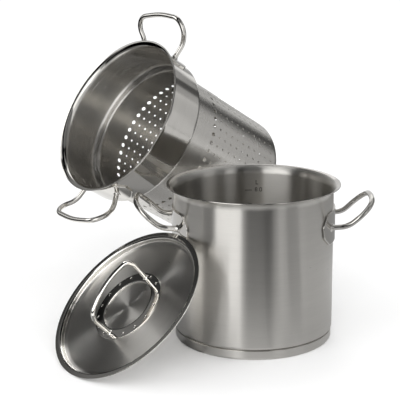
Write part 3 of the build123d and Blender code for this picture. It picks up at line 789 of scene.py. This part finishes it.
    # perforated floor
    holes = [(0.0, 0.0)]
    for ring in range(1, 7):
        cnt = 6 * ring
        holes += [(14.5 * ring * math.cos(2 * math.pi * i / cnt), 14.5 * ring * math.sin(2 * math.pi * i / cnt)) for i in range(cnt)]
    hn = 16
    hr = SMALL_HOLE_D / 2
    border = [(floor_r * math.cos(2 * math.pi * s / segs - cell / 2), floor_r * math.sin(2 * math.pi * s / segs - cell / 2)) for s in range(segs)]
    pts = [Vector(q) for q in border]
    edges = [(i, (i + 1) % segs) for i in range(segs)]
    for cx, cy in holes:
        b = len(pts)
        pts += [Vector(q) for q in circle_points(cx, cy, hr + 0.2, hn)]
        edges += [(b + i, b + (i + 1) % hn) for i in range(hn)]
    res = delaunay_2d_cdt(pts, edges, [], 0, 1e-6)
    for z, up in ((-INS_DEPTH, -1), (-INS_DEPTH + INS_SHEET, 1)):
        ids = []
        for v in res[0]:
            r, a = v.length, math.atan2(v.y, v.x)
            if abs(r - floor_r) < 0.02:
                s = round((a + cell / 2) / (2 * math.pi / segs)) % segs
                ids.append(put(floor_r, 2 * math.pi * s / segs - cell / 2, z, (0, 0, up)))
            else:
                ids.append(len(verts))
                verts.append(fr.p(v.x, v.y, z))
                normals.append(fr.v(0, 0, up))
        for f in res[2]:
            c = sum((res[0][i] for i in f), Vector((0, 0))) / len(f)
            if any((c.x - x) ** 2 + (c.y - y) ** 2 < (hr + 0.1) ** 2 for x, y in holes):
                continue
            face = [ids[i] for i in f]
            faces.append(tuple(face if up > 0 else face[::-1]))
    index = {}
    for i, v in enumerate(verts):
        index.setdefault((round(v.x, 6), round(v.y, 6), round(v.z, 6)), i)
    for cx, cy in holes:
        tops, bots, mid_t, mid_b = [], [], [], []
        for x, y in circle_points(cx, cy, hr + 0.2, hn):
            for z, dest in ((-INS_DEPTH + INS_SHEET, tops), (-INS_DEPTH, bots)):
                v = fr.p(x, y, z)
                dest.append(index.get((round(v.x, 6), round(v.y, 6), round(v.z, 6))))
        for x, y in circle_points(cx, cy, hr, hn):
            nx, ny = (cx - x) / hr, (cy - y) / hr
            for z, dest, up in ((-INS_DEPTH + INS_SHEET - 0.2, mid_t, 0.35), (-INS_DEPTH + 0.2, mid_b, -0.35)):
                dest.append(len(verts))
                verts.append(fr.p(x, y, z))
                normals.append(fr.v(nx * 0.93, ny * 0.93, up))
        if None in tops or None in bots:
            raise ValueError("a floor hole lost its edge")
        for i in range(hn):
            t = (i + 1) % hn
            faces.append((tops[i], tops[t], mid_t[t], mid_t[i]))
            faces.append((mid_t[i], mid_t[t], mid_b[t], mid_b[i]))
            faces.append((mid_b[i], mid_b[t], bots[t], bots[i]))
    return make("insert_body", verts, faces, normals, mat=M_INS, body="insert", slot="insert_steel", nodes=[n for n in ("insert_shell", "insert_basket", "insert_floor") if n in frame["nodes"]])


insert_body = insert_mesh()

# ------------------------------------------------------------------ lid
lid_outline = rounded([
    (0, -9.2, 0), (37, -8.0, 99), (60, -8.0, 19), (111.6, -10.4, 7), (117.5, -8.34, 4), (118.52, -2.23, 1.5),
    (120.67, -1.0, 3), (LID_R - 1.0, -1.0, 0.15), (LID_R - 0.9, -1.3, 0.15), (LID_R, -1.3, 0.45), (LID_R, 0.0, 0.5), (120.4, 0.0, 4),
    (117.6, -1.6, 2.5), (116.6, -7.6, 3), (111.5, -9.4, 6), (60, -7.0, 20), (37, -7.0, 100), (0, -8.2, 0),
], 6.0)
lathe("lid_sheet", densify(lid_outline, 8.0), LID, 384, mat=M_LID, body="lid", slot="lid_steel", nodes=["lid_shell"])


def ring_mesh():
    """The ring plate under the grip: a turned plate whose top carries a ring of small round dimples."""
    fr = LID
    segs = 320
    verts, normals, faces = [], [], []
    lo, hi = 49.4, 55.8                             # band of the top face that holds the dimples
    prof = rounded([
        (RING_IN, -7.0, 0.1), (RING_OUT, -7.0, 0.1), (RING_OUT, RING_TOP - 0.9, 0.7), (RING_OUT - 0.7, RING_TOP - 0.75, 1.6),
        (RING_IN + 2.2, RING_TOP, 3.0), (RING_IN + 0.4, RING_TOP - 0.2, 0.6), (RING_IN, RING_TOP - 0.9, 0.5),
    ], 8.0)
    slope = (RING_TOP - (RING_TOP - 0.75)) / ((RING_IN + 2.2) - (RING_OUT - 0.7))

    def z_at(r):
        return RING_TOP + slope * (r - (RING_IN + 2.2))

    nrm = Vector((-slope, 1)).normalized()
    full = []
    n = len(prof)
    for i in range(n):
        a, b = prof[i], prof[(i + 1) % n]
        full.append(a)
        if a[0] > hi and b[0] < lo and a[3] > 0.9 and b[3] > 0.9:
            full.append((hi, z_at(hi), nrm.x, nrm.y))
            full.append((lo, z_at(lo), nrm.x, nrm.y))
    rings = []
    for r, z, nr, nz in full:
        ring = []
        for s in range(segs):
            a = 2 * math.pi * s / segs
            ring.append(len(verts))
            verts.append(fr.p(r * math.cos(a), r * math.sin(a), z))
            normals.append(fr.v(nr * math.cos(a), nr * math.sin(a), nz))
        rings.append(ring)
    band = None
    for i in range(len(full)):
        j = (i + 1) % len(full)
        if abs(full[i][0] - hi) < 1e-9 and abs(full[j][0] - lo) < 1e-9:
            band = (i, j)
            continue
        a, b = rings[i], rings[j]
        for s in range(segs):
            t = (s + 1) % segs
            faces.append((a[s], a[t], b[t], b[s]))
    outer, inner = rings[band[0]], rings[band[1]]
    pts, edges, ids = [], [], []
    for r, ring in ((hi, outer), (lo, inner)):
        b = len(pts)
        for s in range(segs):
            a = 2 * math.pi * s / segs
            pts.append(Vector((r * math.cos(a), r * math.sin(a))))
            ids.append(ring[s])
        edges += [(b + i, b + (i + 1) % segs) for i in range(segs)]
    spots = []
    hn, dr, depth = 24, 2.17, 0.95
    for i in range(16):
        a = math.radians(11.25 + 22.5 * i)
        spots.append((52.6 * math.cos(a), 52.6 * math.sin(a)))
    loops = []
    for cx, cy in spots:
        b = len(pts)
        loop = []
        for x, y in circle_points(cx, cy, dr + 0.25, hn):
            r, a = math.hypot(x, y), math.atan2(y, x)
            pts.append(Vector((x, y)))
            ids.append(len(verts))
            loop.append(len(verts))
            verts.append(fr.p(x, y, z_at(r)))
            normals.append(fr.v(nrm.x * math.cos(a), nrm.x * math.sin(a), nrm.y))
        edges += [(b + i, b + (i + 1) % hn) for i in range(hn)]
        loops.append(loop)
    res = delaunay_2d_cdt(pts, edges, [], 0, 1e-6)
    out_ids = []
    for v, orig in zip(res[0], res[3]):
        out_ids.append(ids[orig[0]])
    for f in res[2]:
        c = sum((res[0][i] for i in f), Vector((0, 0))) / len(f)
        if c.length < lo - 0.02 or c.length > hi + 0.02:
            continue
        if any((c.x - x) ** 2 + (c.y - y) ** 2 < dr * dr for x, y in spots):
            continue
        faces.append(tuple(out_ids[i] for i in f))
    sphere = 2.95
    for (cx, cy), loop in zip(spots, loops):
        prev = loop
        r0 = math.hypot(cx, cy)
        for k in range(1, 6):
            f = 1 - k / 5
            rr = dr * f if k < 5 else 0
            rr = dr * (1 - (k - 1) / 4.0) if k < 5 else 0
            dz = math.sqrt(sphere ** 2 - rr ** 2)
            if k == 5:
                c = len(verts)
                verts.append(fr.p(cx, cy, RING_TOP + 2.0 - sphere))
                normals.append(fr.v(0, 0, 1))
                for i in range(hn):
                    faces.append((prev[i], prev[(i + 1) % hn], c))
                break
            ring = []
            for i in range(hn):
                a = 2 * math.pi * i / hn
                x, y = cx + rr * math.cos(a), cy + rr * math.sin(a)
                z = min(RING_TOP + 2.0 - dz, z_at(math.hypot(x, y)) - 0.05)
                ring.append(len(verts))
                verts.append(fr.p(x, y, z))
                normals.append(fr.v(-rr * math.cos(a) / sphere, -rr * math.sin(a) / sphere, dz / sphere))
            for i in range(hn):
                t = (i + 1) % hn
                faces.append((prev[i], prev[t], ring[t], ring[i]))
            prev = ring
    return make("lid_ring_plate", verts, faces, normals, mat=M_RING, body="lid", slot="ring_steel", nodes=["lid_ring"])


ring_mesh()
lid_path = [Vector(p) for p in [(-LID_FOOT, 0, -7.4), (-50.8, 0, 37.0), (0, 0, 51.0), (50.8, 0, 37.0), (LID_FOOT, 0, -7.4)]]
tube("lid_grip", fillet_path(lid_path, [18, 130, 18]), LID_ROD_R, LID, mat=M_ROD, body="lid", slot="rod_steel", nodes=["lid_handle"])


def lid_fillets():
    verts, faces = [], []
    for side in (-1, 1):
        foot = Vector((side * LID_FOOT, 0, RING_TOP - 0.3))
        d = (Vector((side * 50.8, 0, 37.0)) - Vector((side * LID_FOOT, 0, -8.0))).normalized()
        e1 = Vector((0, 1, 0))
        e2 = d.cross(e1)
        n, k = 48, 10
        base = len(verts)
        for j in range(k + 1):
            t = j / k
            rho = (LID_ROD_R + 0.02) + 2.1 * (1 - math.cos(t * math.pi / 2)) if j else LID_ROD_R - 0.15
            up = 2.5 * (1 - math.sin(t * math.pi / 2))
            for i in range(n):
                a = 2 * math.pi * i / n
                w = 1 + 0.03 * math.sin(6 * a + side) * t
                q = foot + (e1 * math.cos(a) + e2 * math.sin(a)) * rho * w
                q = q + d * ((RING_TOP - 0.32 - q.z) / d.z + up)
                verts.append(LID.p(*q))
        for j in range(k):
            for i in range(n):
                i2 = (i + 1) % n
                faces.append((base + j * n + i, base + (j + 1) * n + i, base + (j + 1) * n + i2, base + j * n + i2))
        under = len(verts)
        verts.append(LID.p(*(foot - d * 0.4)))
        lid = len(verts)
        verts.append(LID.p(*(foot + d * 2.2)))
        for i in range(n):
            i2 = (i + 1) % n
            faces.append((base + k * n + i, under, base + k * n + i2))
            faces.append((base + i2, lid, base + i))
    return make("lid_grip_fillets", verts, faces, None, mat=M_WELD, body="lid", slot="weld_steel", nodes=["lid_welds"], sharp=60)


lid_fillets()

# ------------------------------------------------------------------ studio
scene = bpy.context.scene
scene.view_settings.view_transform = "Standard"
scene.view_settings.look = "None"


def emission(name, color, strength):
    m = bpy.data.materials.new(name)
    m.use_nodes = True
    nt = m.node_tree
    nt.nodes.clear()
    out = nt.nodes.new("ShaderNodeOutputMaterial")
    em = nt.nodes.new("ShaderNodeEmission")
    em.inputs["Color"].default_value = (*color, 1)
    em.inputs["Strength"].default_value = strength
    nt.links.new(em.outputs[0], out.inputs["Surface"])
    return m, nt, em


def only_glossy(ob):
    ob.visible_camera = False
    ob.visible_diffuse = False
    ob.visible_shadow = False
    ob.visible_transmission = False
    ob.visible_volume_scatter = False


def table_at(sectors, az, part, soft=1.5):
    """Strength of the surroundings at an azimuth in degrees, with soft edges between the sectors."""
    total = 0.0
    for (a0, a1, strengths) in sectors:
        for turn in (-360, 0, 360):
            lo, hi = a0 + turn, a1 + turn
            lap = min(hi, az + soft) - max(lo, az - soft)
            if lap > 0:
                total += strengths[part] * lap / (2 * soft)
    return total


def surround(name, kind, bands, first, sectors, lit, layer_no):
    """One sheet that only one body's metal sees, glowing with the strengths of its table: a dome of walls, or a disc on the floor."""
    marks = []                                     # places across the bands, doubled at each soft edge
    for k, (lo, hi) in enumerate(bands):
        soft = 1.2 if kind == "wall" else lo * 0.04 + 0.004
        low = lo if k == 0 else lo + soft
        high = hi if k == len(bands) - 1 else hi - soft
        for i in range(5):
            marks.append((low + (high - low) * i / 4, k))
    steps = 240
    verts, glow, faces = [], [], []
    for i in range(steps):
        az = -60 + 360 * i / steps
        t = math.radians(az)
        for v, k in marks:
            if kind == "wall":
                e, dist = math.radians(v), 2.7 + 0.03 * layer_no
                verts.append((dist * math.cos(e) * math.sin(t), -dist * math.cos(e) * math.cos(t), dist * math.sin(e)))
            else:
                verts.append((v * math.sin(t), -v * math.cos(t), -0.0005 - 0.0002 * layer_no))
            glow.append(table_at(sectors, az, first + k))
    m = len(marks)
    for i in range(steps):
        j = (i + 1) % steps
        for q in range(m - 1):
            faces.append((i * m + q, j * m + q, j * m + q + 1, i * m + q + 1))
    me = bpy.data.meshes.new(name)
    me.from_pydata(verts, [], faces)
    layer = me.attributes.new("glow", "FLOAT", "POINT")
    layer.data.foreach_set("value", glow)
    ob = bpy.data.objects.new(name, me)
    scene.collection.objects.link(ob)
    mat, nt, em = emission(name, (1.0, 1.0, 1.0), 1.0)
    at = nt.nodes.new("ShaderNodeAttribute")
    at.attribute_name = "glow"
    nt.links.new(at.outputs["Fac"], em.inputs["Strength"])
    clear = nt.nodes.new("ShaderNodeBsdfTransparent")        # a ray goes on to the next body's sheet
    both = nt.nodes.new("ShaderNodeAddShader")
    nt.links.new(em.outputs[0], both.inputs[0])
    nt.links.new(clear.outputs[0], both.inputs[1])
    nt.links.new(both.outputs[0], next(n for n in nt.nodes if n.type == "OUTPUT_MATERIAL").inputs["Surface"])
    me.materials.append(mat)
    only_glossy(ob)
    ob.light_linking.receiver_collection = lit
    STUDIO.append(ob)
    return ob


STUDIO = []


# floor: the camera and the soft light see one sheet, the metal's reflections another at the same place: a glowing disc
# whose strengths are painted floor light and shade
def plane(name, size, z=0.0):
    me = bpy.data.meshes.new(name)
    s = size / 2
    me.from_pydata([(-s, -s, z), (s, -s, z), (s, s, z), (-s, s, z)], [], [(0, 1, 2, 3)])
    ob = bpy.data.objects.new(name, me)
    scene.collection.objects.link(ob)
    return ob


floor = plane("floor", 60.0)
m, nt, bsdf = nodes_of("floor_white")
g = Net(nt)
tc = nt.nodes.new("ShaderNodeTexCoord")
paper = g.noise(tc.outputs["Object"], 3.0, 2.0, 0.5)
nt.links.new(g.vec("SCALE", (0.9, 0.9, 0.9), scale=g.math("ADD", 0.99, g.math("MULTIPLY", paper, 0.02))), bsdf.inputs["Base Color"])
bsdf.inputs["Roughness"].default_value = 0.9
bsdf.inputs["Specular IOR Level"].default_value = 0.0
floor.data.materials.append(m)
floor.visible_glossy = False

# lights on the floor
world = bpy.data.worlds.new("studio")
scene.world = world
world.use_nodes = True
world.node_tree.nodes["Background"].inputs["Color"].default_value = (1, 1, 1, 1)
world.node_tree.nodes["Background"].inputs["Strength"].default_value = 0.68
world.cycles_visibility.glossy = False
world.cycles_visibility.camera = True


def area(name, centre, size, power, aim=(0, 0, 0)):
    li = bpy.data.lights.new(name, "AREA")
    li.shape = "SQUARE"
    li.size = size
    li.energy = power
    ob = bpy.data.objects.new(name, li)
    scene.collection.objects.link(ob)
    ob.location = centre
    ob.rotation_euler = (Vector(aim) - Vector(centre)).to_track_quat("-Z", "Y").to_euler()
    ob.visible_glossy = False
    ob.visible_camera = False
    return ob


area("front", (-0.08, -2.2, 2.2), 1.4, 18)
area("front_left", (-1.64, -1.56, 2.2), 1.4, 11)
area("front_right", (1.48, -1.56, 2.2), 1.4, 6.5)
area("low_front", (-0.08, -2.6, 0.9), 1.4, 21)
area("low_right", (2.52, 0.0, 0.9), 1.4, 26)
area("low_back", (-0.08, 2.6, 0.9), 1.4, 23)
area("low_left", (-2.68, 0.0, 0.9), 1.4, 18)

# white ring on the far part of the floor, seen by the camera alone
ring_n = 96
ring_v = [(r * math.cos(2 * math.pi * i / ring_n), r * math.sin(2 * math.pi * i / ring_n), 0.0005)
          for r in (2.2, 28.0) for i in range(ring_n)]
ring_f = [(i, (i + 1) % ring_n, ring_n + (i + 1) % ring_n, ring_n + i) for i in range(ring_n)]
me = bpy.data.meshes.new("backdrop")
me.from_pydata(ring_v, [], ring_f)
backdrop = bpy.data.objects.new("backdrop", me)
scene.collection.objects.link(backdrop)
me.materials.append(emission("backdrop_white", (1.0, 1.0, 1.0), 1.05)[0])
for flag in ("visible_diffuse", "visible_glossy", "visible_shadow", "visible_transmission", "visible_volume_scatter"):
    setattr(backdrop, flag, False)

# what the metal sees, sector by sector: azimuth from the front towards +X, in degrees, then the strengths of the walls
# (five heights) and of the floor (four distances). The floor strengths are painted floor light and shade, glowing on
# discs that only the metal sees
WALLS = {"low": (0, 12), "mid": (12, 26), "upper": (26, 45), "high": (45, 62), "top": (62, 90)}
POOLS = {"foot": (0.10, 0.28), "near": (0.28, 0.55), "table": (0.55, 0.95), "far": (0.95, 2.6)}
SECTORS = {
    "pot": [
        (-60, -54, (0.55, 2, 1.55, 1.05, 1.25, 0.1, 0.25, 0.15, 0)),
        (-54, -42, (1.35, 2.45, 1.65, 1.2, 1.2, 0.1, 0.9, 0.9, 0.95)),
        (-42, -18, (1.8, 2.25, 1.4, 0.8, 0.2, 0.4, 1.25, 0.75, 0.6)),
        (-18, -12, (0.6, 0.35, 0, 0, 0, 0.6, 0.65, 0, 0)),
        (-12, 12, (0.15, 0.35, 0.1, 0.1, 0.15, 0.7, 0.25, 0, 0)),
        (12, 24, (0.3, 0, 0, 0, 0, 0.6, 0.15, 0, 0)),
        (24, 30, (0.65, 0.75, 0.05, 0, 0, 0.55, 0.35, 0, 0)),
        (30, 42, (0.6, 1, 0.75, 0.65, 0, 0.55, 0.65, 0.25, 0.15)),
        (42, 60, (0.8, 0.2, 0, 0.2, 0.25, 0.5, 0.35, 0.15, 0.2)),
        (60, 78, (0.5, 0.65, 0.35, 0.25, 0.4, 0.5, 0.7, 0.35, 0.2)),
        (78, 150, (0.6, 0, 0.3, 0.55, 0.5, 0.5, 0.7, 0.3, 0.4)),
        (150, 198, (0.75, 0.7, 1.2, 0.75, 0.2, 0.35, 0.4, 0.35, 0.35)),
        (198, 288, (0, 0, 0.1, 0.05, 0.65, 0.2, 0.7, 0.65, 0.2)),
        (288, 300, (0, 0.05, 0.3, 0.8, 1.15, 0.05, 0.45, 0.5, 0)),
    ],
    "insert": [
        (-54, -42, (0.6, 0.45, 0.2, 0.5, 0.35, 1.05, 0.65, 0.85, 0.35)),
        (-42, -6, (1.9, 1.8, 1.5, 0.15, 0.2, 0.6, 0.65, 0.85, 1.25)),
        (-6, 90, (0.65, 0.7, 0.85, 0.25, 0.15, 0.55, 0.6, 0.75, 0.7)),
        (90, 114, (0.35, 0.55, 0.65, 0.9, 0, 1.3, 1.4, 1.1, 0.7)),
        (114, 126, (0.2, 0.55, 0.4, 0.3, 0, 1.4, 1.25, 0.45, 0.1)),
        (126, 138, (0, 0.05, 0.1, 0.5, 0, 1.65, 1.3, 0.2, 0)),
        (138, 150, (0, 0.05, 0.4, 0.25, 0, 2, 1.6, 0.9, 0.2)),
        (150, 162, (0.2, 1, 0.05, 0.45, 0, 1.7, 1.7, 1.05, 0.65)),
        (162, 198, (0.85, 0.4, 0.8, 1.4, 0.35, 0.95, 1.6, 1.15, 0.85)),
        (198, 228, (0.2, 0.25, 0.25, 0.2, 0, 0.45, 0.95, 1, 0.85)),
        (228, 240, (0, 0.5, 0.2, 0, 0, 0.2, 1.1, 0.6, 0)),
        (240, 252, (0, 0.9, 2.1, 0.05, 0, 0.35, 1.4, 0.25, 0)),
        (252, 276, (0, 0.8, 3.05, 0.85, 0, 0.35, 1.05, 0.15, 0)),
        (276, 306, (0.1, 0, 0.05, 0, 0, 0.9, 0.65, 0.25, 0)),
    ],
    "lid": [
        (294, 462, (0, 3.21, 2.74, 0.04, 0.04, 0.55, 0.33, 1.79, 1.99)),
        (102, 120, (0.55, 0.33, 0.29, 0.33, 0, 0.08, 0.37, 1.99, 1.89)),
        (120, 126, (0.22, 0.33, 0.29, 0.29, 0, 0.22, 0.22, 0.26, 0.26)),
        (126, 138, (0.26, 0.26, 0.33, 0.6, 0, 0.22, 0.22, 0.22, 0.22)),
        (138, 144, (0.22, 0.22, 0.75, 0.29, 0, 0.22, 0.22, 0.22, 0.22)),
        (144, 150, (0.22, 0.22, 0.26, 0.37, 0.26, 0.26, 0.19, 0.22, 0.22)),
        (150, 156, (0.26, 0.22, 0.22, 2.37, 0.04, 0.29, 0.29, 0.22, 0.22)),
        (156, 162, (0.22, 0.22, 0.22, 2.27, 0, 0.22, 0.29, 0.22, 0.15)),
        (162, 168, (0.26, 0.26, 0.22, 2.84, 0.08, 0.19, 0.22, 0.19, 0.22)),
        (168, 180, (0.19, 0.22, 0.22, 4.73, 0, 0.29, 0.29, 0.22, 0.26)),
        (180, 192, (0.26, 0.26, 0.11, 1.89, 0, 0.15, 0.29, 0.26, 0.26)),
        (192, 204, (0.75, 0.7, 4.34, 8.41, 0, 0.19, 0.29, 0.26, 0.55)),
        (204, 240, (0.19, 0, 0.04, 0.22, 0, 0.22, 0.7, 0.6, 0.55)),
        (240, 294, (0.15, 0, 0.19, 0.15, 0, 1.89, 0.8, 0.29, 0.33)),
    ],
}
for layer_no, (body, sectors) in enumerate(SECTORS.items()):
    lit = bpy.data.collections.new(f"lit_{body}")
    for ob in RIDERS[body] + [frame["nodes"][n] for n in frame["record"]["behaviour"]["bodies"][body]]:
        lit.objects.link(ob)
    surround(f"studio_walls_{body}", "wall", list(WALLS.values()), 0, sectors, lit, layer_no)
    # the floor disc glows with painted floor light and shade, seen by this body's metal alone
    surround(f"studio_floor_{body}", "pool", list(POOLS.values()), 5, sectors, lit, layer_no)

# ------------------------------------------------------------------ camera
cam = bpy.data.cameras.new("camera")
cam.lens = 111.4
cam.sensor_width = 36.0
cam.clip_start, cam.clip_end = 0.05, 100.0
cam_ob = bpy.data.objects.new("camera", cam)
scene.collection.objects.link(cam_ob)
fwd = Vector((0.0, 0.969405, -0.245466))
right = Vector((0.999972, -0.00183, -0.007226)).normalized()
fwd = (fwd - right * fwd.dot(right)).normalized()
up = right.cross(fwd)
rot = Matrix((right, up, -fwd)).transposed()
cam_ob.matrix_world = Matrix.Translation((-0.08003, -1.8, 0.6665)) @ rot.to_4x4()
scene.camera = cam_ob
